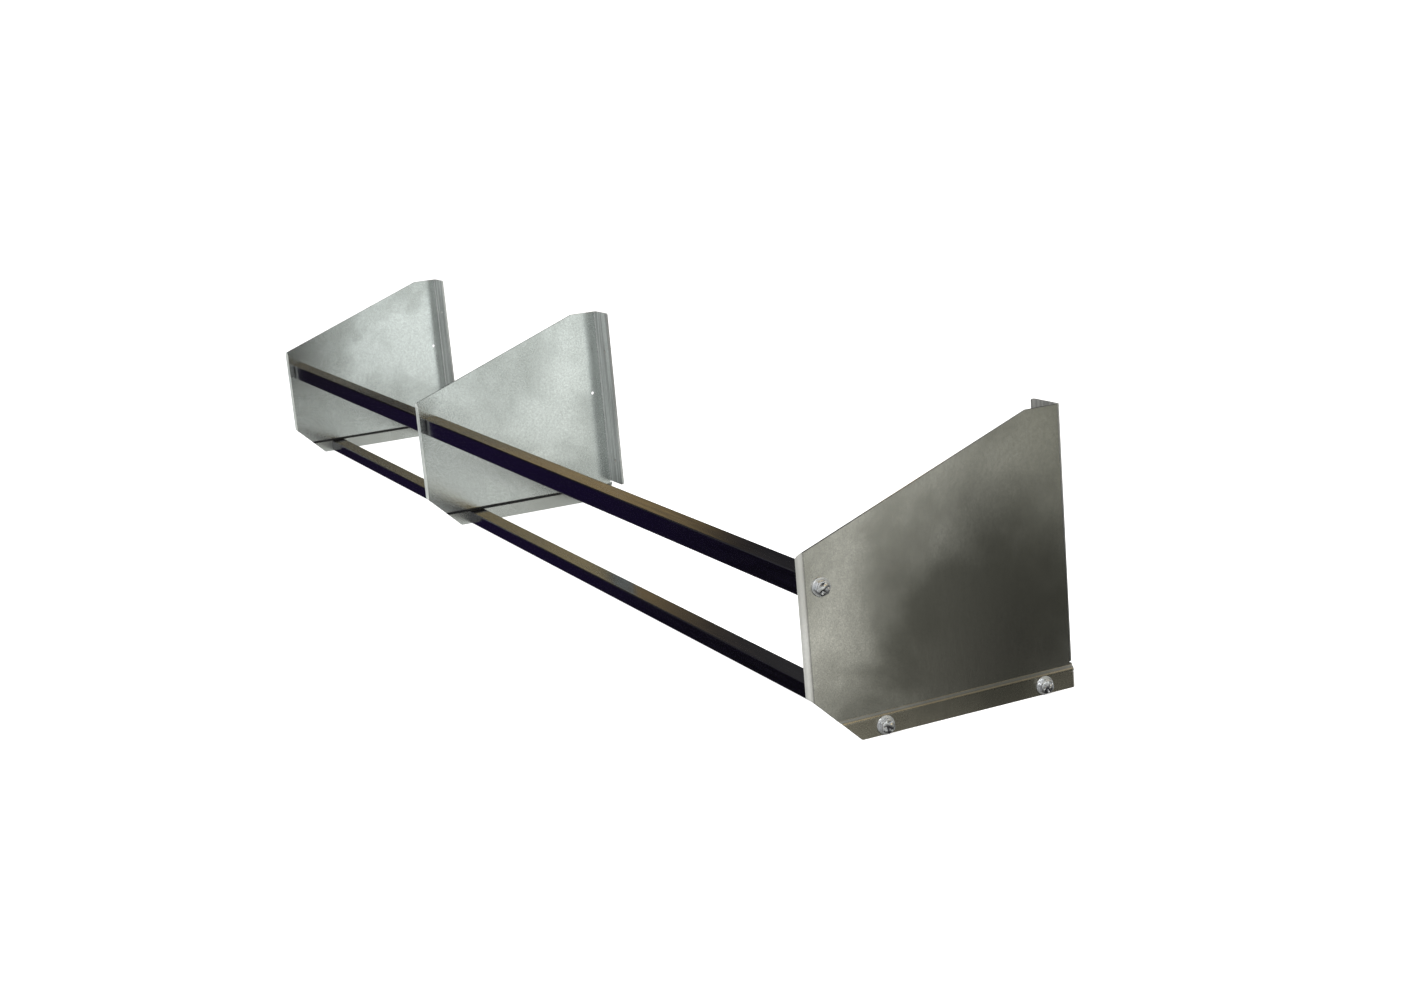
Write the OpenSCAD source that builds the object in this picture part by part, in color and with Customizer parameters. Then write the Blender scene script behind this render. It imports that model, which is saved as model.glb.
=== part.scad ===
// Wall-mounted rack for small slick tyres: three folded sheet brackets joined by three lines of
// tube rail.  +X runs along the rails, +Y points to the wall and +Z is up.  The origin is at the
// middle of the rack's length and depth, on the level of the brackets' bottom edges.

/* [Length] */
// Length of the upper rail in the short left bay
left_rail_l = 845; // [300:1:1500]
// Length of the upper rail in the long right bay
right_rail_l = 1279; // [300:1:1800]

/* [Bracket sheet] */
// Thickness of the bracket sheet
sheet_t = 3; // [2:0.1:4]
// Inside radius of every bend in the sheet
bend_r = 2; // [1:0.1:3]
// Depth of the bracket from its front edge to the wall
bracket_d = 320; // [300:1:420]
// Height of the bracket
bracket_h = 310; // [270:1:420]
// Length of the level top edge at the wall
top_l = 44; // [30:1:90]
// Height of the top of the front edge
nose_top = 205.5; // [190:0.5:240]
// Height of the bottom of the front edge
nose_bottom = 54; // [30:1:120]
// Length of the bottom chamfer along the depth
chamfer_l = 55; // [20:1:60]
// Radius of the outline's corners
corner_r = 3; // [1:0.5:6]
// Width of the front lip, measured over the web
lip_w = 10; // [8:0.5:16]
// Drop of the mitre at the top of the front lip
lip_mitre = 5; // [1:0.5:10]
// Width of the wall flange, measured over the web
flange_w = 51; // [38:1:76]
// Distance that the bottom strip steps out from the web
joggle_step = 3; // [2.5:0.1:5]
// Gap between the top of a lower rail and the inside of the step
joggle_gap = 0.4; // [0.2:0.1:3]
// Height of the relief notches that part the wall flange from the step
relief_h = 2; // [1:0.5:6]

/* [Wall fixing] */
// Diameter of the wall screw holes
wall_hole_d = 7.1; // [5:0.1:9]
// Height of the lower wall screw hole
wall_hole_low = 66; // [45:1:90]
// Distance between the two wall screw holes
wall_hole_pitch = 180; // [100:1:195]
// Distance of the wall screw holes from the web's outer face
wall_hole_in = 29; // [18:1:30]
// Diameter of the small hole beside the wall flange
tie_hole_d = 5; // [3:0.5:8]
// Distance of the small hole from the wall
tie_hole_in = 20; // [14:1:40]
// Height of the small hole
tie_hole_z = 178; // [100:1:230]

/* [Rails] */
// Width of every rail along the depth
rail_w = 25.4; // [20:0.1:32]
// Height of the upper rail
upper_rail_h = 25.4; // [20:0.1:32]
// Height of the lower rails
lower_rail_h = 19; // [16:0.1:25.4]
// Wall thickness of the rail tube
rail_wall = 1.6; // [1.2:0.1:2]
// Outside corner radius of the rail tube
rail_r = 1.6; // [0.5:0.1:2]
// Distance from the front edge to the middle of the upper rail
upper_in = 21.5; // [20:0.5:40]
// Height of the middle of the upper rail
upper_z = 169; // [120:0.5:175]
// Distance from the front edge to the middle of the lower front rail
lower_front_in = 82.5; // [76:0.5:120]
// Distance from the wall to the middle of the lower rear rail
lower_rear_in = 41; // [30:0.5:80]
// Gap between the bottom edge of the bracket and a lower rail
lower_rail_gap = 1; // [0.5:0.1:3]

/* [Fasteners] */
// Length of the threaded plug in each rail end
plug_l = 25; // [22:0.5:40]
// Gap between a plug and the inside of its rail
plug_gap = 0.05; // [0.02:0.01:0.2]
// Diameter of the bolts and studs
bolt_d = 9.5; // [8:0.1:10]
// Length of a bolt under its head
bolt_l = 25.4; // [20:0.1:26]
// Play between a bolt and its threaded plug, on the diameter
thread_play = 0.1; // [0.04:0.01:0.2]
// Play between a bolt and the hole in the bracket, on the diameter
hole_play = 0.8; // [0.4:0.1:1.5]
// Width across the flats of the hexagon head
head_af = 14.3; // [13:0.1:17]
// Height of the hexagon head
head_h = 6; // [4:0.1:8]
// Outside diameter of the flat washer
washer_d = 20.6; // [19.5:0.1:22]
// Thickness of the flat washer
washer_t = 1.6; // [1:0.1:2.5]
// Depth to which each end of a stud enters its plug
stud_in = 20; // [15:0.5:22]
// Chamfer on the ends of the bolts and studs
end_chamfer = 1; // [0.5:0.1:1.5]

/* [Hidden] */

// The three lines of rail
UPPER = 0;
LOWER_FRONT = 1;
LOWER_REAR = 2;
LINES = [UPPER, LOWER_FRONT, LOWER_REAR];
// Angle at which the tightened bolt heads of each line stand
HEAD_TURN = [22, 0, -13];

// The two bays and the two ends of a rail
LEFT = 0;
RIGHT = 1;

// Places of the webs' outer faces along the rack
left_x = 0;
middle_x = left_x + sheet_t + left_rail_l;
right_x = middle_x + 2 * sheet_t + right_rail_l;
rack_l = right_x - left_x;

// Steps of an arc, and the fineness of round parts
ARC_STEPS = 6;
$fn = 48;
// A cut runs past the faces that it opens by this much
over = 1;

lower_z = lower_rail_gap + lower_rail_h / 2;
// Width of the 45 degree mitre of a bend through one sheet thickness
bend_mitre = sheet_t * tan(22.5);
strip_inner_h = lower_rail_gap + lower_rail_h + joggle_gap;
joggle_top = strip_inner_h + joggle_step + bend_mitre;
// The front lip and the wall flange bend away from the web between these depths
lip_y1 = sheet_t + bend_r;
flange_y0 = bracket_d - lip_y1;
// The wall flange is cut through at the step: a foot below it and the flange proper above it
step_z0 = strip_inner_h - bend_r;
step_z1 = joggle_top + bend_r;
foot_h = step_z0 - relief_h;
flange_z0 = step_z1 + relief_h;

// Place and size of a rail line, seen from the end of the rack
function line_y(line) =
    line == UPPER ? upper_in :
    line == LOWER_FRONT ? lower_front_in : bracket_d - lower_rear_in;
function line_z(line) = line == UPPER ? upper_z : lower_z;
function line_h(line) = line == UPPER ? upper_rail_h : lower_rail_h;
// The lower rails seat on the stepped strip, so their seats lie further out
function seat_step(line) = line == UPPER ? 0 : joggle_step;

// Ends of a rail along the rack
function rail_start(bay, line) =
    (bay == LEFT ? left_x : middle_x) + sheet_t - seat_step(line);
function rail_end(bay, line) =
    bay == LEFT ? middle_x - seat_step(line) : right_x - sheet_t + seat_step(line);

function unit(v) = v / norm(v);

// Points of the arc that rounds corner b between a and c; a radius of 0 keeps the corner sharp
function corner(a, b, c, r) =
    r == 0 ? [b] :
    let (
        u = unit(a - b),
        v = unit(c - b),
        half = acos(u * v) / 2,
        centre = b + unit(u + v) * r / sin(half),
        from = b + u * r / tan(half) - centre,
        to = b + v * r / tan(half) - centre,
        start = atan2(from[1], from[0]),
        sweep = (atan2(to[1], to[0]) - start + 540) % 360 - 180
    )
    [for (i = [0:ARC_STEPS])
        let (a = start + sweep * i / ARC_STEPS)
        centre + r * [cos(a), sin(a)]];

// Outline whose corners are [x, y, radius]
function rounded(pts) =
    let (n = len(pts), p = [for (q = pts) [q[0], q[1]]])
    [for (i = [0:n - 1]) each corner(p[(i + n - 1) % n], p[i], p[(i + 1) % n], pts[i][2])];

// Carries a drawing of depth and height to the YZ plane and gives it a thickness along X
module along_x(from, to) {
    translate([from, 0, 0])
        rotate([90, 0, 90])
            linear_extrude(to - from)
                children();
}

// Carries a drawing of width and height to the XZ plane and gives it a length along Y
module along_y(from, to) {
    translate([0, to, 0])
        rotate([90, 0, 0])
            linear_extrude(to - from)
                children();
}

// Side outline of a bracket: long slope down to the front edge, chamfer at the bottom
module bracket_outline() {
    polygon(rounded([
        [0, nose_bottom, 0],
        [0, nose_top, 0],
        [bracket_d - top_l, bracket_h, corner_r],
        [bracket_d, bracket_h, 0],
        [bracket_d, 0, 0],
        [chamfer_l, 0, corner_r]
    ]));
}

// Section of the web and the stepped bottom strip, seen from the front
module web_section() {
    polygon(rounded([
        [0, bracket_h, 0],
        [0, joggle_top, bend_r],
        [-joggle_step, joggle_top - joggle_step, bend_r + sheet_t],
        [-joggle_step, 0, 0],
        [sheet_t - joggle_step, 0, 0],
        [sheet_t - joggle_step, strip_inner_h, bend_r],
        [sheet_t, joggle_top - bend_mitre, bend_r + sheet_t],
        [sheet_t, bracket_h, 0]
    ]));
}

// Section of a square bend at the origin, seen from above, with a flange of a given width
module bend_section(width) {
    polygon(rounded([
        [0, lip_y1, 0],
        [0, 0, bend_r + sheet_t],
        [width, 0, 0],
        [width, sheet_t, 0],
        [sheet_t, sheet_t, bend_r],
        [sheet_t, lip_y1, 0]
    ]));
}

// Front outline of a flange between two heights, with a corner radius at the top and bottom
module flange_outline(width, z0, z1, r0, r1) {
    polygon(rounded([
        [0, z0, 0],
        [0, z1, 0],
        [width, z1, r1],
        [width, z0, r0]
    ]));
}

module web() {
    intersection() {
        union() {
            along_y(lip_y1, flange_y0)
                web_section();
            // Between the relief notches the step runs on towards the wall
            intersection() {
                along_y(lip_y1, bracket_d - bend_r)
                    web_section();
                translate([-joggle_step - over, 0, step_z0])
                    cube([sheet_t + joggle_step + 2 * over, bracket_d, step_z1 - step_z0]);
            }
        }
        along_x(-joggle_step - over, sheet_t + over)
            bracket_outline();
    }
}

// Narrow lip folded in along the front edge, mitred at the top
module lip() {
    intersection() {
        linear_extrude(bracket_h)
            bend_section(lip_w);
        along_x(-over, lip_w + over)
            bracket_outline();
        along_y(-over, lip_y1 + over)
            polygon([
                [-over, 0],
                [-over, bracket_h],
                [sheet_t, bracket_h],
                [sheet_t, nose_top],
                [lip_w, nose_top - lip_mitre],
                [lip_w, 0]
            ]);
    }
}

// Bend and flange against the wall between two heights
module wall_flange(width, z0, z1, r0, r1) {
    intersection() {
        translate([0, bracket_d, z0])
            mirror([0, 1, 0])
                linear_extrude(z1 - z0)
                    bend_section(width);
        along_y(0, bracket_d)
            flange_outline(width, z0, z1, r0, r1);
    }
}

module flange() {
    wall_flange(flange_w, flange_z0, bracket_h, 2 * corner_r, corner_r);
    // The foot stands out with the stepped strip
    translate([-joggle_step, 0, 0])
        wall_flange(flange_w + joggle_step, 0, foot_h, 1, corner_r);
}

module rail_holes() {
    for (line = LINES)
        translate([-joggle_step - over, line_y(line), line_z(line)])
            rotate([0, 90, 0])
                cylinder(d = bolt_d + hole_play, h = joggle_step + sheet_t + 2 * over);
}

module wall_holes() {
    for (z = [wall_hole_low, wall_hole_low + wall_hole_pitch])
        translate([wall_hole_in, bracket_d + over, z])
            rotate([90, 0, 0])
                cylinder(d = wall_hole_d, h = sheet_t + 2 * over);
}

module tie_hole() {
    translate([-over, bracket_d - tie_hole_in, tie_hole_z])
        rotate([0, 90, 0])
            cylinder(d = tie_hole_d, h = sheet_t + 2 * over);
}

// A folded bracket with the outer face of its web at x = 0 and its bay towards +X
module folded_bracket(has_tie_hole) {
    difference() {
        union() {
            web();
            lip();
            flange();
        }
        rail_holes();
        wall_holes();
        if (has_tie_hole)
            tie_hole();
    }
}

// Moves a piece drawn from the left bracket's front bottom corner into the rack's own frame
module in_rack() {
    translate([-rack_l / 2, -bracket_d / 2, 0])
        children();
}

module bracket_left() {
    color("#b9bfbb")
        in_rack()
            translate([left_x, 0, 0])
                folded_bracket(has_tie_hole = true);
}

module bracket_middle() {
    color("#b9bfbb")
        in_rack()
            translate([middle_x, 0, 0])
                folded_bracket(has_tie_hole = true);
}

module bracket_right() {
    color("#8f8f88")
        in_rack()
            translate([right_x, 0, 0])
                mirror([1, 0, 0])
                    folded_bracket(has_tie_hole = false);
}

// Rectangle of the rail's section shrunk by an inset on every side
module rail_block(line, inset, r) {
    w = rail_w / 2 - inset;
    h = line_h(line) / 2 - inset;
    polygon(rounded([[-w, -h, r], [w, -h, r], [w, h, r], [-w, h, r]]));
}

module rail(bay, line) {
    color("#15121c")
        in_rack()
            translate([0, line_y(line), line_z(line)])
                along_x(rail_start(bay, line), rail_end(bay, line))
                    difference() {
                        rail_block(line, 0, rail_r);
                        rail_block(line, rail_wall, 0);
                    }
}

// Threaded plug that fills the end of a rail
module plug(bay, line, end) {
    x = end == LEFT ? rail_start(bay, line) : rail_end(bay, line) - plug_l;
    color("#6d7076")
        in_rack()
            translate([x, line_y(line), line_z(line)])
                difference() {
                    along_x(0, plug_l)
                        rail_block(line, rail_wall + plug_gap, 0);
                    translate([-over, 0, 0])
                        rotate([0, 90, 0])
                            cylinder(d = bolt_d + thread_play, h = plug_l + 2 * over);
                }
}

// Half section of a threaded rod between two heights, with a chamfer at its free ends
module rod_half(from, to, from_chamfer) {
    polygon([
        [0, from],
        [bolt_d / 2 - from_chamfer, from],
        [bolt_d / 2, from + from_chamfer],
        [bolt_d / 2, to - end_chamfer],
        [bolt_d / 2 - end_chamfer, to],
        [0, to]
    ]);
}

// Hexagon head on the seat at height 0, with the 30 degree chamfer that rounds its outer corners
module hex_head() {
    corner_radius = head_af / 2 / cos(30);
    face_radius = head_af * 0.475;
    chamfer = (corner_radius - face_radius) * tan(30);
    intersection() {
        translate([0, 0, -head_h])
            cylinder(r = corner_radius, h = head_h, $fn = 6);
        rotate_extrude()
            polygon([
                [0, 0],
                [0, -head_h],
                [face_radius, -head_h],
                [corner_radius, chamfer - head_h],
                [corner_radius, 0]
            ]);
    }
}

// Bolt and washer stand on the outer face of an end bracket; side is -1 at the left end
module at_end(side, line) {
    face = side < 0 ? left_x - seat_step(line) : right_x + seat_step(line);
    in_rack()
        translate([face, line_y(line), line_z(line)])
            rotate([0, -side * 90, 0])
                children();
}

module bolt(side, line) {
    color("#d5d8da")
        at_end(side, line)
            translate([0, 0, -washer_t])
                union() {
                    rotate([0, 0, HEAD_TURN[line]])
                        hex_head();
                    rotate_extrude()
                        rod_half(-end_chamfer, bolt_l, 0);
                }
}

module washer(side, line) {
    color("#c3c7ca")
        at_end(side, line)
            translate([0, 0, -washer_t])
                difference() {
                    cylinder(d = washer_d, h = washer_t);
                    translate([0, 0, -over])
                        cylinder(d = bolt_d + hole_play, h = washer_t + 2 * over);
                }
}

// Double-ended stud that clamps the middle bracket between two rails
module stud(line) {
    color("#b4b8bc")
        in_rack()
            translate([middle_x - seat_step(line), line_y(line), line_z(line)])
                rotate([0, 90, 0])
                    rotate_extrude()
                        rod_half(-stud_in, sheet_t + stud_in, end_chamfer);
}

bracket_left();
bracket_middle();
bracket_right();

rail(LEFT, UPPER);  // rail_left_upper
rail(LEFT, LOWER_FRONT);  // rail_left_lower_front
rail(LEFT, LOWER_REAR);  // rail_left_lower_rear
rail(RIGHT, UPPER);  // rail_right_upper
rail(RIGHT, LOWER_FRONT);  // rail_right_lower_front
rail(RIGHT, LOWER_REAR);  // rail_right_lower_rear

plug(LEFT, UPPER, LEFT);  // plug_left_upper_outer
plug(LEFT, LOWER_FRONT, LEFT);  // plug_left_lower_front_outer
plug(LEFT, LOWER_REAR, LEFT);  // plug_left_lower_rear_outer
plug(LEFT, UPPER, RIGHT);  // plug_left_upper_inner
plug(LEFT, LOWER_FRONT, RIGHT);  // plug_left_lower_front_inner
plug(LEFT, LOWER_REAR, RIGHT);  // plug_left_lower_rear_inner
plug(RIGHT, UPPER, LEFT);  // plug_right_upper_inner
plug(RIGHT, LOWER_FRONT, LEFT);  // plug_right_lower_front_inner
plug(RIGHT, LOWER_REAR, LEFT);  // plug_right_lower_rear_inner
plug(RIGHT, UPPER, RIGHT);  // plug_right_upper_outer
plug(RIGHT, LOWER_FRONT, RIGHT);  // plug_right_lower_front_outer
plug(RIGHT, LOWER_REAR, RIGHT);  // plug_right_lower_rear_outer

bolt(-1, UPPER);  // bolt_left_upper
bolt(-1, LOWER_FRONT);  // bolt_left_lower_front
bolt(-1, LOWER_REAR);  // bolt_left_lower_rear
bolt(1, UPPER);  // bolt_right_upper
bolt(1, LOWER_FRONT);  // bolt_right_lower_front
bolt(1, LOWER_REAR);  // bolt_right_lower_rear

washer(-1, UPPER);  // washer_left_upper
washer(-1, LOWER_FRONT);  // washer_left_lower_front
washer(-1, LOWER_REAR);  // washer_left_lower_rear
washer(1, UPPER);  // washer_right_upper
washer(1, LOWER_FRONT);  // washer_right_lower_front
washer(1, LOWER_REAR);  // washer_right_lower_rear

stud(UPPER);  // stud_upper
stud(LOWER_FRONT);  // stud_lower_front
stud(LOWER_REAR);  // stud_lower_rear
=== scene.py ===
"""Looks of the tyre storage rack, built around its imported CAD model.

Lengths are metres in the rack's own frame: +X along the rails, +Y to the wall, +Z up.
Angles named here are degrees.
"""

import math

import bmesh
import bpy
from mathutils import Matrix, Vector


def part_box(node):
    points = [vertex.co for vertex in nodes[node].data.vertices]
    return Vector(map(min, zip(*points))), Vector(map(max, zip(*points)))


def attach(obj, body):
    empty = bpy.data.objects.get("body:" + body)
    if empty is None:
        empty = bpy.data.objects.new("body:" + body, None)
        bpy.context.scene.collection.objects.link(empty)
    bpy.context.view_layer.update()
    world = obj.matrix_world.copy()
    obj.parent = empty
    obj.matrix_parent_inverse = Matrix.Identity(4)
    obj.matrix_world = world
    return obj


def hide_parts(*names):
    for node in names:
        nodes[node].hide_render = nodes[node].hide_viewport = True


MM = 0.001

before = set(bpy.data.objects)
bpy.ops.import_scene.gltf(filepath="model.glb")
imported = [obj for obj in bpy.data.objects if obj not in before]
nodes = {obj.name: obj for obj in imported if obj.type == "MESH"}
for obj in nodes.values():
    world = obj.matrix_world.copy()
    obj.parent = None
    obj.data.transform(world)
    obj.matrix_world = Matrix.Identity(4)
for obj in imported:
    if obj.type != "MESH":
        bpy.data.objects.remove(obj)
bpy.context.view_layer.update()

LINES = ("upper", "lower_front", "lower_rear")
BAYS = ("left", "right")
BRACKETS = ("bracket_left", "bracket_middle", "bracket_right")
RAILS = [f"rail_{bay}_{line}" for bay in BAYS for line in LINES]
PLUGS = [name for name in nodes if name.startswith("plug_")]

# Camera fitted to the photo: place, then degrees from +Y towards +X, upwards and of roll
CAMERA_PLACE = (2.7696, -1.0261, 0.6941)
CAMERA_YAW, CAMERA_PITCH, CAMERA_ROLL = -65.814, -12.508, -5.143
CAMERA_LENS = 50.98

# Places where a finish of the brackets, or its painted shade and reflection, begins and is
# complete, counted from the right bracket's box
bracket_low, bracket_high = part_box("bracket_right")
FOOT_FADE = (bracket_low.z + 24 * MM, bracket_low.z + 20 * MM)
LIP_FADE = (bracket_low.y + 4.5 * MM, bracket_low.y + 2.5 * MM)
WALL_FADE = (bracket_high.y - 4.5 * MM, bracket_high.y - 2.5 * MM)
OUTER_FACE_FADE = (bracket_high.x - 5 * MM, bracket_high.x - 4 * MM)

# Painted dark reflection patch: centre and reach are measured after the stretch, which takes out
# the X direction
PATCH_STRETCH = (0, 0.85, 1.15)
PATCH_CENTRE = (0, 42.5 * MM, 100 * MM)
PATCH_FULL, PATCH_END = 55 * MM, 220 * MM
PATCH_RAGGED = 30 * MM

# 3/8 in coarse thread: points of its profile as shares of the pitch, at the root or at the crest
THREAD_PITCH = 1.5875 * MM
THREAD_DEPTH = 0.75 * MM
THREAD_PROFILE = ((0.00, "root"), (0.08, "root"), (0.44, "crest"), (0.56, "crest"))
THREAD_COLUMNS = 24
END_CHAMFER = 1 * MM

# Hexagon head: width across flats, height, and the radii of its flat top and of its washer face
HEAD_AF = 14.3 * MM
HEAD_H = 6 * MM
HEAD_TOP_R = 0.475 * HEAD_AF
HEAD_CHAMFER = 30
WASHER_FACE_R = 0.47 * HEAD_AF
WASHER_FACE_H = 0.4 * MM
HEAD_TURN = {"upper": 22, "lower_front": 0, "lower_rear": -13}

# Bolt thread: its outside radius, and how far inside the head it starts
BOLT_R = 4.75 * MM
BOLT_SINK = 0.5 * MM

# Radial grade marks: length, width and depth of the cutter, and its distance from the axis
MARK_SIZE = (3.2 * MM, 0.9 * MM, 0.8 * MM)
MARK_CENTRE = 4.6 * MM
MARK_TURN = {"upper": 94, "lower_front": 30, "lower_rear": 60}

# Washer: radius of its bore, rolled outer edge, and the chamfer of the other edges
WASHER_INNER_R = 5.15 * MM
WASHER_ROLL = 0.45 * MM
WASHER_BURR = 0.12 * MM

# Softened edges: widths, the angle above which an edge is rounded or is kept sharp in the shading
SHEET_ROUNDING = 0.35 * MM
HEAD_ROUNDING = 0.22 * MM
ROUNDED_ABOVE = 28
SHARP_ABOVE = 30
WELD_DISTANCE = 0.005 * MM

ROUND_STEPS = 96
FLOOR_REACH = 60


# ------------------------------------------------------------------ camera

def place_camera():
    """Camera that sees the rack from the right end, a little above it."""
    yaw, pitch, roll = (math.radians(a) for a in (CAMERA_YAW, CAMERA_PITCH, CAMERA_ROLL))
    forward = Vector((
        math.cos(pitch) * math.sin(yaw),
        math.cos(pitch) * math.cos(yaw),
        math.sin(pitch),
    ))
    level_right = Vector((math.cos(yaw), -math.sin(yaw), 0))
    level_up = level_right.cross(forward)
    right = math.cos(roll) * level_right + math.sin(roll) * level_up
    up = math.cos(roll) * level_up - math.sin(roll) * level_right
    data = bpy.data.cameras.new("camera")
    data.sensor_width = 36
    data.lens = CAMERA_LENS
    data.clip_start = 0.05
    data.clip_end = 200
    camera = bpy.data.objects.new("camera", data)
    rows = zip(right, up, -forward, CAMERA_PLACE)
    camera.matrix_world = Matrix((*rows, (0, 0, 0, 1)))
    bpy.context.scene.collection.objects.link(camera)
    bpy.context.scene.camera = camera


# --------------------------------------------------------------- materials

class Shader:
    """A node material under construction, with one Principled shader."""

    def __init__(self, name, **constants):
        self.material = bpy.data.materials.new(name)
        self.material.use_nodes = True
        self.tree = self.material.node_tree
        self.tree.nodes.clear()
        output = self.tree.nodes.new("ShaderNodeOutputMaterial")
        self.principled = self.tree.nodes.new("ShaderNodeBsdfPrincipled")
        self.tree.links.new(self.principled.outputs[0], output.inputs[0])
        for socket, value in constants.items():
            self.principled.inputs[socket.replace("_", " ")].default_value = value
        self.place = self.tree.nodes.new("ShaderNodeTexCoord").outputs["Object"]

    def node(self, kind, **settings):
        made = self.tree.nodes.new("ShaderNode" + kind)
        for name, value in settings.items():
            setattr(made, name, value)
        return made

    def feed(self, socket, value):
        """Links an output to a socket, or sets the socket to a plain value."""
        if isinstance(value, bpy.types.NodeSocket):
            self.tree.links.new(value, socket)
        else:
            socket.default_value = value

    def stretched(self, scale):
        made = self.node("Mapping")
        self.feed(made.inputs["Vector"], self.place)
        self.feed(made.inputs["Scale"], scale)
        return made.outputs[0]

    def noise(self, scale, detail=3, rough=0.55, at=None, distortion=0):
        made = self.node("TexNoise")
        self.feed(made.inputs["Vector"], self.place if at is None else at)
        self.feed(made.inputs["Scale"], scale)
        self.feed(made.inputs["Detail"], detail)
        self.feed(made.inputs["Roughness"], rough)
        self.feed(made.inputs["Distortion"], distortion)
        return made.outputs["Fac"]

    def span(self, value, from_min, from_max, to_min=0.0, to_max=1.0, smooth=False):
        made = self.node("MapRange")
        made.interpolation_type = "SMOOTHSTEP" if smooth else "LINEAR"
        for socket, number in zip(made.inputs, (value, from_min, from_max, to_min, to_max)):
            self.feed(socket, number)
        return made.outputs[0]

    def math(self, operation, a, b=0.0):
        made = self.node("Math", operation=operation)
        self.feed(made.inputs[0], a)
        self.feed(made.inputs[1], b)
        return made.outputs[0]

    def blend(self, fac, a, b):
        made = self.node("Mix", data_type="RGBA")
        self.feed(made.inputs[0], fac)
        self.feed(made.inputs[6], a)
        self.feed(made.inputs[7], b)
        return made.outputs[2]

    def axis(self, name):
        made = self.node("SeparateXYZ")
        self.feed(made.inputs[0], self.place)
        return made.outputs[name]

    def painted_reflection_patch(self, strength):
        """Cloudy painted dark reflection on the outermost face, behind and below its middle."""
        away = self.node("VectorMath", operation="DISTANCE")
        self.feed(away.inputs[0], self.stretched(PATCH_STRETCH))
        self.feed(away.inputs[1], PATCH_CENTRE)
        ragged = self.span(self.noise(9, 3), 0.3, 0.7, -PATCH_RAGGED, PATCH_RAGGED)
        reach = self.math("ADD", away.outputs["Value"], ragged)
        patch = self.span(reach, PATCH_FULL, PATCH_END, strength, 0, smooth=True)
        outer_face = self.span(self.axis("X"), *OUTER_FACE_FADE)
        return self.math("MULTIPLY", patch, outer_face)

    def bump(self, height, strength, distance, after=None):
        made = self.node("Bump")
        self.feed(made.inputs["Height"], height)
        self.feed(made.inputs["Strength"], strength)
        self.feed(made.inputs["Distance"], distance)
        if after is not None:
            self.feed(made.inputs["Normal"], after)
        return made.outputs[0]

    def finish(self, colour=None, roughness=None, normal=None):
        fed = {"Base Color": colour, "Roughness": roughness, "Normal": normal}
        for socket, value in fed.items():
            if value is not None:
                self.feed(self.principled.inputs[socket], value)
        return self.material


def rgb(r, g, b):
    return (r, g, b, 1)


def sheet_material(name, light, dark, foot_tint, roughness, reflection_darkening):
    """Satin aluminium sheet: clouded tone, fine grain, faint rubbing and a few scratches.

    The foot is tinted, and the front lip and the wall flange are rougher and less mirror-like. The
    wall flange also carries painted shade in streaks, and the outer face a painted dark reflection.
    """
    s = Shader(name)
    cloud = s.span(s.noise(6, 4, 0.55, distortion=0.6), 0.36, 0.64, smooth=True)
    speck = s.noise(600, 3, 0.75)
    mottle = s.noise(260, 2, 0.7)
    rub = s.noise(1, 3, 0.6, at=s.stretched((260, 180, 60)))
    scratch_field = s.noise(1, 2, 0.5, at=s.stretched((400, 520, 30)), distortion=0.3)
    scratch = s.span(scratch_field, 0.71, 0.74)
    streak = s.span(s.noise(1, 2, 0.5, at=s.stretched((210, 1, 5))), 0.42, 0.58, smooth=True)
    depth = s.axis("Y")
    foot = s.span(s.axis("Z"), *FOOT_FADE, smooth=True)
    lip = s.span(depth, *LIP_FADE, smooth=True)
    wall = s.span(depth, *WALL_FADE, smooth=True)
    # Painted shade on the wall flange, broken by lighter streaks of painted reflection
    wall_painted_shade = s.math("MULTIPLY", wall, s.span(streak, 0, 1, 0, 0.6))
    tone = s.blend(cloud, light, dark)
    tone = s.blend(s.span(speck, 0.32, 0.68, 0, 0.4), tone, dark)
    tone = s.blend(s.span(mottle, 0.40, 0.60, 0, 0.24), tone, rgb(0.42, 0.43, 0.42))
    tone = s.blend(s.span(rub, 0.35, 0.7, 0, 0.08), tone, dark)
    tone = s.blend(s.math("MULTIPLY", foot, 0.7), tone, foot_tint)
    tone = s.blend(s.math("MULTIPLY", scratch, 0.12), tone, rgb(0.9, 0.9, 0.88))
    # Painted dark reflection: the outer face darkens towards a cloudy patch behind and below its
    # middle
    tone = s.blend(s.painted_reflection_patch(reflection_darkening), tone, rgb(0.10, 0.10, 0.085))
    # Painted shade and painted reflection streaks on the wall flange
    tone = s.blend(wall_painted_shade, tone, rgb(0.2, 0.2, 0.2))
    rough = s.span(cloud, 0, 1, roughness - 0.02, roughness + 0.04)
    rough = s.math("ADD", rough, s.span(speck, 0.3, 0.7, -0.04, 0.04))
    rough = s.math("ADD", rough, s.math("MULTIPLY", foot, 0.05))
    rough = s.math("ADD", rough, s.math("MULTIPLY", s.math("ADD", lip, wall), 0.22))
    metal = s.math("SUBTRACT", s.span(lip, 0, 1, 1, 0.45), s.math("MULTIPLY", wall, 0.3))
    s.feed(s.principled.inputs["Metallic"], metal)
    waves = s.bump(s.noise(8, 1, 0.4), 0.08, 0.001)
    grain = s.bump(s.math("ADD", speck, rub), 0.16, 0.0001, after=waves)
    return s.finish(tone, rough, grain)


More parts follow.
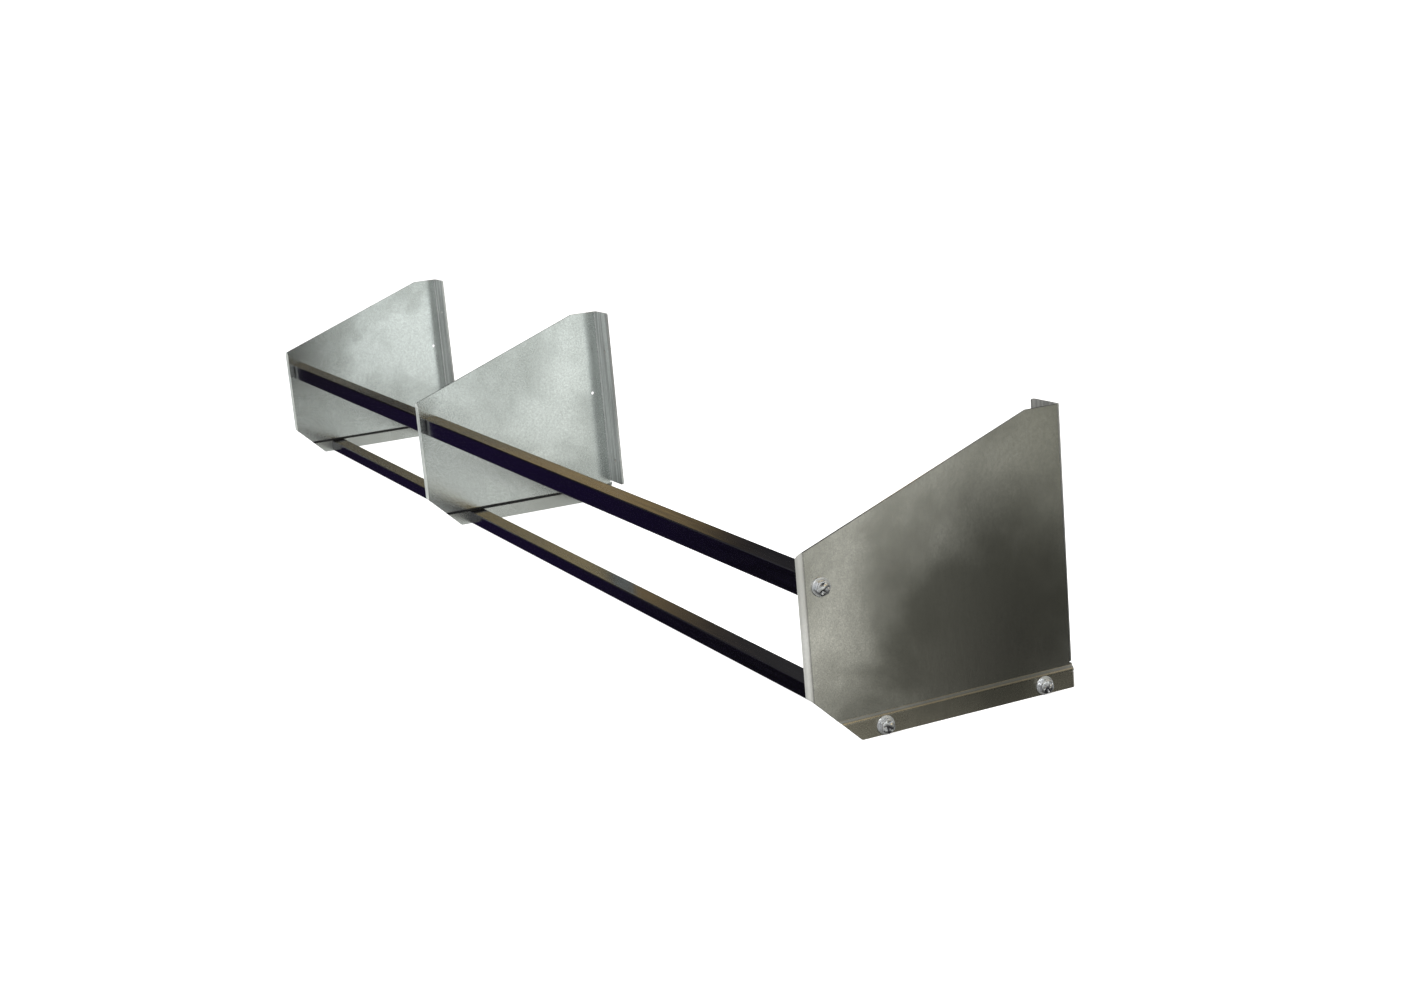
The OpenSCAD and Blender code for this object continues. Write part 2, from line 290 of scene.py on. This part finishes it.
def edge_material():
    """Deburred cut edge of the sheet, brighter and cross-scratched by the file."""
    s = Shader("sheet_edge", Metallic=1.0)
    file_marks = s.noise(1, 3, 0.6, at=s.stretched((900, 500, 500)))
    tone = s.blend(s.span(file_marks, 0.3, 0.7), rgb(0.86, 0.87, 0.86), rgb(0.68, 0.69, 0.68))
    rough = s.span(file_marks, 0.3, 0.7, 0.26, 0.42)
    return s.finish(tone, rough, s.bump(file_marks, 0.2, 0.0001))


def rail_material():
    """Gloss black finish: violet cast, faint orange peel, lengthwise streaks and a little dust."""
    s = Shader("rail_black", Metallic=0.0, IOR=1.5)
    streak = s.noise(1, 4, 0.6, at=s.stretched((14, 260, 260)))
    dust = s.span(s.noise(900, 2, 0.6), 0.66, 0.78)
    deep, faint = rgb(0.0008, 0.0005, 0.0022), rgb(0.0014, 0.0009, 0.0038)
    tone = s.blend(s.span(streak, 0.35, 0.65), deep, faint)
    tone = s.blend(s.math("MULTIPLY", dust, 0.03), tone, rgb(0.25, 0.23, 0.22))
    rough = s.math("ADD", s.span(streak, 0.3, 0.7, 0.10, 0.20), s.math("MULTIPLY", dust, 0.2))
    peel = s.bump(s.noise(260, 2, 0.5), 0.08, 0.0002)
    return s.finish(tone, rough, peel)


def zinc_material(name, light, dark, roughness):
    """Zinc plate: slightly clouded, with a fine crystalline grain."""
    s = Shader(name, Metallic=1.0)
    cloud = s.span(s.noise(160, 3, 0.6), 0.35, 0.65, smooth=True)
    fine = s.noise(1500, 2, 0.6)
    tone = s.blend(cloud, light, dark)
    tone = s.blend(s.span(fine, 0.35, 0.65, 0, 0.2), tone, dark)
    rough = s.span(cloud, 0, 1, roughness - 0.05, roughness + 0.08)
    rough = s.math("ADD", rough, s.span(fine, 0.3, 0.7, -0.03, 0.03))
    return s.finish(tone, rough, s.bump(fine, 0.15, 0.00008))


def machined_material():
    """Milled steel of the rail plugs, with tool lines across and a little oil stain."""
    s = Shader("plug_steel", Metallic=1.0)
    lines = s.noise(1, 2, 0.6, at=s.stretched((1400, 60, 60)))
    stain = s.span(s.noise(60, 3, 0.6), 0.4, 0.7, smooth=True)
    tone = s.blend(stain, rgb(0.50, 0.51, 0.53), rgb(0.30, 0.28, 0.26))
    rough = s.math("ADD", s.span(lines, 0.3, 0.7, 0.28, 0.40), s.math("MULTIPLY", stain, 0.12))
    return s.finish(tone, rough, s.bump(lines, 0.3, 0.0001))


def floor_material():
    """Pale seamless floor with a barely visible mottle."""
    s = Shader("floor_pale", Roughness=0.9, Emission_Strength=0.80)
    mottle = s.noise(3, 3, 0.5)
    tone = s.blend(s.span(mottle, 0.3, 0.7), rgb(0.90, 0.90, 0.90), rgb(0.88, 0.88, 0.88))
    s.principled.inputs["Emission Color"].default_value = rgb(1, 1, 1)
    return s.finish(tone)


# ------------------------------------------------------------------ pieces

def mesh_object(name, bm, material):
    data = bpy.data.meshes.new(name)
    bmesh.ops.recalc_face_normals(bm, faces=bm.faces)
    bm.to_mesh(data)
    bm.free()
    data.materials.append(material)
    made = bpy.data.objects.new(name, data)
    bpy.context.scene.collection.objects.link(made)
    return made


def soften(obj, width, edge_slot=-1):
    """Rounds the sharp edges, with an edge material of their own if one is named."""
    bevel = obj.modifiers.new("soft_edges", "BEVEL")
    bevel.width = width
    bevel.segments = 2
    bevel.limit_method = "ANGLE"
    bevel.angle_limit = math.radians(ROUNDED_ABOVE)
    bevel.use_clamp_overlap = True
    bevel.harden_normals = True
    bevel.material = edge_slot


def dress(name, materials, bevel=0.0):
    """Gives a carried-over CAD node its materials, welded vertices and softened edges."""
    obj = nodes[name]
    obj.data.materials.clear()
    for material in materials:
        obj.data.materials.append(material)
    weld = obj.modifiers.new("weld", "WELD")
    weld.merge_threshold = WELD_DISTANCE
    if bevel:
        soften(obj, bevel, edge_slot=len(materials) - 1)


def thread(bm, radius, start, end):
    """Right-hand thread along +Z, closed by chamfered ends."""
    columns = THREAD_COLUMNS
    minor = radius - THREAD_DEPTH
    radii = {"root": minor, "crest": radius}
    profile = [(share * THREAD_PITCH, radii[level]) for share, level in THREAD_PROFILE]
    lead = THREAD_PITCH / columns
    first = start + END_CHAMFER / 2
    turns = math.floor((end - END_CHAMFER / 2 - first) / THREAD_PITCH) - 1
    count = turns * columns
    strip = []
    for k in range(count + columns + 1):
        angle = 2 * math.pi * k / columns
        direction = Vector((math.cos(angle), math.sin(angle), 0))
        rows = profile if k <= count else profile[:1]
        strip.append([
            bm.verts.new(direction * r + Vector((0, 0, first + k * lead + dz))) for dz, r in rows
        ])
    for k in range(count):
        a, b = strip[k], strip[k + 1]
        for p in range(len(profile) - 1):
            bm.faces.new((a[p], b[p], b[p + 1], a[p + 1]))
        bm.faces.new((a[-1], b[-1], strip[k + 1 + columns][0], strip[k + columns][0]))

    def cap(height, inner, boundary, step_face):
        ring = [
            bm.verts.new((inner * math.cos(2 * math.pi * j / columns),
                          inner * math.sin(2 * math.pi * j / columns), height))
            for j in range(columns)
        ]
        for j in range(columns):
            bm.faces.new((ring[j], ring[(j + 1) % columns], boundary[j + 1], boundary[j]))
        bm.faces.new([ring[0]] + step_face)
        bm.faces.new(ring)

    tip = minor - END_CHAMFER / 2
    low = [strip[j][0] for j in range(columns + 1)]
    cap(start, tip, low, strip[0] + [strip[columns][0]])
    high = [strip[count + j][0] for j in range(columns + 1)]
    cap(end, tip, high, strip[count] + [strip[count + columns][0]])


def hexagon_head(bm, turn):
    """Chamfered hexagon head with a washer face, from height 0 down to -HEAD_H."""
    rings = [[], [], [], []]
    for i in range(ROUND_STEPS):
        angle = 2 * math.pi * i / ROUND_STEPS
        side = (angle % (math.pi / 3)) - math.pi / 6
        outer = HEAD_AF / 2 / math.cos(side)
        drop = (outer - HEAD_TOP_R) * math.tan(math.radians(HEAD_CHAMFER))
        outward = Matrix.Rotation(angle + math.radians(turn), 3, "Z") @ Vector((1, 0, 0))
        levels = (
            (HEAD_TOP_R, -HEAD_H),
            (outer, drop - HEAD_H),
            (outer, -WASHER_FACE_H),
            (WASHER_FACE_R, 0),
        )
        for ring, (radius, height) in zip(rings, levels):
            ring.append(bm.verts.new(outward * radius + Vector((0, 0, height))))
    for low, high in zip(rings, rings[1:]):
        for i in range(ROUND_STEPS):
            j = (i + 1) % ROUND_STEPS
            bm.faces.new((low[i], low[j], high[j], high[i]))
    bm.faces.new(rings[0])
    bm.faces.new(rings[-1])


def mark_cutter(turn):
    """Box that cuts one grade mark along a radius of the head's top."""
    bm = bmesh.new()
    bmesh.ops.create_cube(bm, size=1)
    bmesh.ops.scale(bm, vec=MARK_SIZE, verts=bm.verts)
    bmesh.ops.translate(bm, vec=(MARK_CENTRE, 0, -HEAD_H), verts=bm.verts)
    bmesh.ops.rotate(bm, matrix=Matrix.Rotation(math.radians(turn), 3, "Z"), verts=bm.verts)
    return bm


def settled(obj):
    """Replaces an object's mesh by what its modifiers make of it."""
    bpy.context.view_layer.update()
    graph = bpy.context.evaluated_depsgraph_get()
    made = bpy.data.meshes.new_from_object(obj.evaluated_get(graph))
    obj.modifiers.clear()
    old = obj.data
    obj.data = made
    bpy.data.meshes.remove(old)


def end_matrix(side, centre, seat):
    """Carries a fastener drawn along +Z to an end of the rack, its +Z into the rack."""
    turn = Matrix.Rotation(math.radians(-side * 90), 4, "Y")
    return Matrix.Translation((seat, centre.y, centre.z)) @ turn


def add_bolt(bay, line, material):
    """Hexagon head bolt with grade marks on its head and a cut thread."""
    node = f"bolt_{bay}_{line}"
    low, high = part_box(node)
    side = -1 if bay == "left" else 1
    centre = (low + high) / 2
    length = high.x - low.x
    seat = (high.x - HEAD_H) if side > 0 else (low.x + HEAD_H)
    bm = bmesh.new()
    hexagon_head(bm, HEAD_TURN[line])
    made = mesh_object(f"{node}_detailed", bm, material)
    cutters = []
    for third in range(3):
        cutter = mesh_object("mark", mark_cutter(MARK_TURN[line] + 120 * third), material)
        cutters.append(cutter)
        cut = made.modifiers.new("mark", "BOOLEAN")
        cut.operation = "DIFFERENCE"
        cut.object = cutter
        cut.solver = "EXACT"
    settled(made)
    for cutter in cutters:
        bpy.data.objects.remove(cutter)
    soften(made, HEAD_ROUNDING)
    settled(made)
    bm = bmesh.new()
    bm.from_mesh(made.data)
    thread(bm, BOLT_R, -BOLT_SINK, length - HEAD_H)
    bmesh.ops.recalc_face_normals(bm, faces=bm.faces)
    bm.to_mesh(made.data)
    bm.free()
    place_fastener(made, node, end_matrix(side, centre, seat))


def revolve(bm, half_section):
    """Closed ring turned from a half section of (radius, height) points."""
    rings = []
    for i in range(ROUND_STEPS):
        angle = 2 * math.pi * i / ROUND_STEPS
        rings.append([
            bm.verts.new((r * math.cos(angle), r * math.sin(angle), z)) for r, z in half_section
        ])
    count = len(half_section)
    for i in range(ROUND_STEPS):
        a, b = rings[i], rings[(i + 1) % ROUND_STEPS]
        for p in range(count):
            q = (p + 1) % count
            bm.faces.new((a[p], b[p], b[q], a[q]))


def add_washer(bay, line, material):
    """Punched flat washer: rolled edge on the outside face, small burr chamfers elsewhere."""
    node = f"washer_{bay}_{line}"
    low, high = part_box(node)
    side = -1 if bay == "left" else 1
    thick = high.x - low.x
    outer = (high.y - low.y) / 2
    inner, roll, burr = WASHER_INNER_R, WASHER_ROLL, WASHER_BURR
    section = [(inner + burr, 0), (outer - roll, 0)]
    section += [
        (outer - roll + roll * math.sin(a), roll - roll * math.cos(a))
        for a in (math.radians(15 * k) for k in range(1, 7))
    ]
    section += [(outer, thick - burr), (outer - burr, thick), (inner + burr, thick)]
    section += [(inner, thick - burr), (inner, burr)]
    bm = bmesh.new()
    revolve(bm, section)
    made = mesh_object(f"{node}_detailed", bm, material)
    centre = (low + high) / 2
    seat = high.x if side > 0 else low.x
    place_fastener(made, node, end_matrix(side, centre, seat))


def add_stud(line, material):
    """Threaded stud through the middle bracket."""
    node = f"stud_{line}"
    low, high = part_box(node)
    centre = (low + high) / 2
    bm = bmesh.new()
    thread(bm, (high.y - low.y) / 2, 0, high.x - low.x)
    made = mesh_object(f"{node}_detailed", bm, material)
    along_x = Matrix.Rotation(math.radians(90), 4, "Y")
    place = Matrix.Translation((low.x, centre.y, centre.z)) @ along_x
    place_fastener(made, node, place)


def place_fastener(obj, node, place):
    """Moves a fastener's mesh to its place, and lets it stand for its CAD node."""
    obj.data.transform(place)
    for face in obj.data.polygons:
        face.use_smooth = True
    mark_sharp_edges(obj.data)
    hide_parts(node)
    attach(obj, "root")


def mark_sharp_edges(data):
    """Marks the edges that stay sharp, so that only the others shade smoothly."""
    bm = bmesh.new()
    bm.from_mesh(data)
    limit = math.radians(SHARP_ABOVE)
    for edge in bm.edges:
        edge.smooth = len(edge.link_faces) == 2 and edge.calc_face_angle(0) < limit
    bm.to_mesh(data)
    bm.free()


# ------------------------------------------------------------------- stage

def add_floor(material):
    bm = bmesh.new()
    bmesh.ops.create_grid(bm, x_segments=8, y_segments=8, size=FLOOR_REACH)
    floor = mesh_object("floor", bm, material)
    floor.visible_glossy = False


def add_area_light(name, place, target, size, power):
    data = bpy.data.lights.new(name, "AREA")
    data.shape = "RECTANGLE"
    data.size, data.size_y = size
    data.energy = power
    light = bpy.data.objects.new(name, data)
    light.location = place
    light.rotation_mode = "QUATERNION"
    light.rotation_quaternion = (Vector(target) - Vector(place)).to_track_quat("-Z", "Y")
    bpy.context.scene.collection.objects.link(light)


def direction(azimuth, elevation):
    """Unit vector at an azimuth counted from +X towards +Y, in degrees."""
    a, e = math.radians(azimuth), math.radians(elevation)
    return (math.cos(a) * math.cos(e), math.sin(a) * math.cos(e), math.sin(e))


# Soft panels of the studio: direction, half angles of the full and of the faded part, and colour
PANELS = (
    (direction(0, 90), 15, 62, (0.80, 0.80, 0.78)),
    (direction(20, -3.5), 4.5, 9, (1.10, 1.15, 1.14)),
    (direction(13, -4.5), 4, 8, (0.46, 0.48, 0.47)),
    (direction(25, -13), 2, 8.5, (0.80, 0.80, 0.74)),
    (direction(28, -21), 2, 6, (0.50, 0.49, 0.44)),
    (direction(38, -8), 2, 9, (0.32, 0.32, 0.26)),
    (direction(40, 22), 8, 22, (0.90, 0.80, 0.64)),
    (direction(2, -17), 8, 15, (0.50, 0.50, 0.48)),
    (direction(-60, -15), 22, 50, (0.50, 0.50, 0.50)),
    (direction(-115, -8), 14, 34, (0.42, 0.43, 0.43)),
    (direction(180, -26), 6, 15, (0.45, 0.46, 0.46)),
    (direction(95, 0), 28, 54, (0.42, 0.43, 0.43)),
    (direction(-16, 12), 7, 22, (1.3, 1.3, 1.3)),
    (direction(-140, 32), 10, 30, (0.7, 0.7, 0.72)),
    (direction(140, 45), 10, 36, (0.30, 0.30, 0.30)),
    (direction(159.5, 12.5), 2, 5, (0.64, 0.47, 0.22)),
    (direction(22, 17), 4, 9, (1.2, 0.9, 0.42)),
    (direction(-160.5, -11), 2, 7, (0.015, 0.003, 0.07)),
)
SURROUND = (0.018, 0.017, 0.019)
BACKDROP_STRENGTH = 1.2


def light_world():
    """Studio of soft panels on a dim surround, plain white where the camera sees past the floor."""
    world = bpy.data.worlds.new("studio")
    world.use_nodes = True
    bpy.context.scene.world = world
    tree = world.node_tree
    tree.nodes.clear()
    place = tree.nodes.new("ShaderNodeTexCoord").outputs["Generated"]
    total = None
    for toward, full, faded, colour in PANELS:
        dot = tree.nodes.new("ShaderNodeVectorMath")
        dot.operation = "DOT_PRODUCT"
        tree.links.new(place, dot.inputs[0])
        dot.inputs[1].default_value = toward
        fade = tree.nodes.new("ShaderNodeMapRange")
        fade.interpolation_type = "SMOOTHSTEP"
        tree.links.new(dot.outputs["Value"], fade.inputs["Value"])
        fade.inputs["From Min"].default_value = math.cos(math.radians(faded))
        fade.inputs["From Max"].default_value = math.cos(math.radians(full))
        add = tree.nodes.new("ShaderNodeVectorMath")
        add.operation = "MULTIPLY_ADD"
        tree.links.new(fade.outputs[0], add.inputs[0])
        add.inputs[1].default_value = colour
        add.inputs[2].default_value = SURROUND
        if total is not None:
            tree.links.new(total, add.inputs[2])
        total = add.outputs[0]
    studio = tree.nodes.new("ShaderNodeBackground")
    tree.links.new(total, studio.inputs["Color"])
    white = tree.nodes.new("ShaderNodeBackground")
    white.inputs["Color"].default_value = rgb(1, 1, 1)
    white.inputs["Strength"].default_value = BACKDROP_STRENGTH
    seen = tree.nodes.new("ShaderNodeLightPath")
    mix = tree.nodes.new("ShaderNodeMixShader")
    output = tree.nodes.new("ShaderNodeOutputWorld")
    tree.links.new(seen.outputs["Is Camera Ray"], mix.inputs[0])
    tree.links.new(studio.outputs[0], mix.inputs[1])
    tree.links.new(white.outputs[0], mix.inputs[2])
    tree.links.new(mix.outputs[0], output.inputs[0])


# ------------------------------------------------------------------- build

place_camera()
light_world()
bpy.context.scene.view_settings.view_transform = "Standard"
add_area_light(
    "key", place=(1.2, -2.2, 2.6), target=(0.2, 0, 0.1), size=(2.4, 1.6), power=70,
)

edge = edge_material()
inner_sheet = sheet_material(
    "inner_sheet", rgb(0.78, 0.82, 0.80), rgb(0.62, 0.66, 0.64), rgb(0.62, 0.64, 0.61), 0.235, 0.0,
)
# The right bracket gets a darker, warmer copy of the same aluminium: painted shade on its outer
# face
outer_sheet = sheet_material(
    "outer_sheet", rgb(0.74, 0.74, 0.70), rgb(0.46, 0.46, 0.42), rgb(0.50, 0.46, 0.36), 0.19, 0.88,
)
black = rail_material()
steel = machined_material()
bolt_zinc = zinc_material("bolt_zinc", rgb(0.95, 0.96, 0.97), rgb(0.78, 0.80, 0.81), 0.22)
washer_zinc = zinc_material("washer_zinc", rgb(0.95, 0.96, 0.97), rgb(0.80, 0.82, 0.83), 0.30)
stud_zinc = zinc_material("stud_zinc", rgb(0.70, 0.72, 0.73), rgb(0.52, 0.54, 0.55), 0.34)

for name in BRACKETS:
    face = outer_sheet if name == "bracket_right" else inner_sheet
    dress(name, (face, edge), bevel=SHEET_ROUNDING)
for name in RAILS:
    dress(name, (black,))
for name in PLUGS:
    dress(name, (steel,))
for line in LINES:
    for bay in BAYS:
        add_bolt(bay, line, bolt_zinc)
        add_washer(bay, line, washer_zinc)
    add_stud(line, stud_zinc)
add_floor(floor_material())
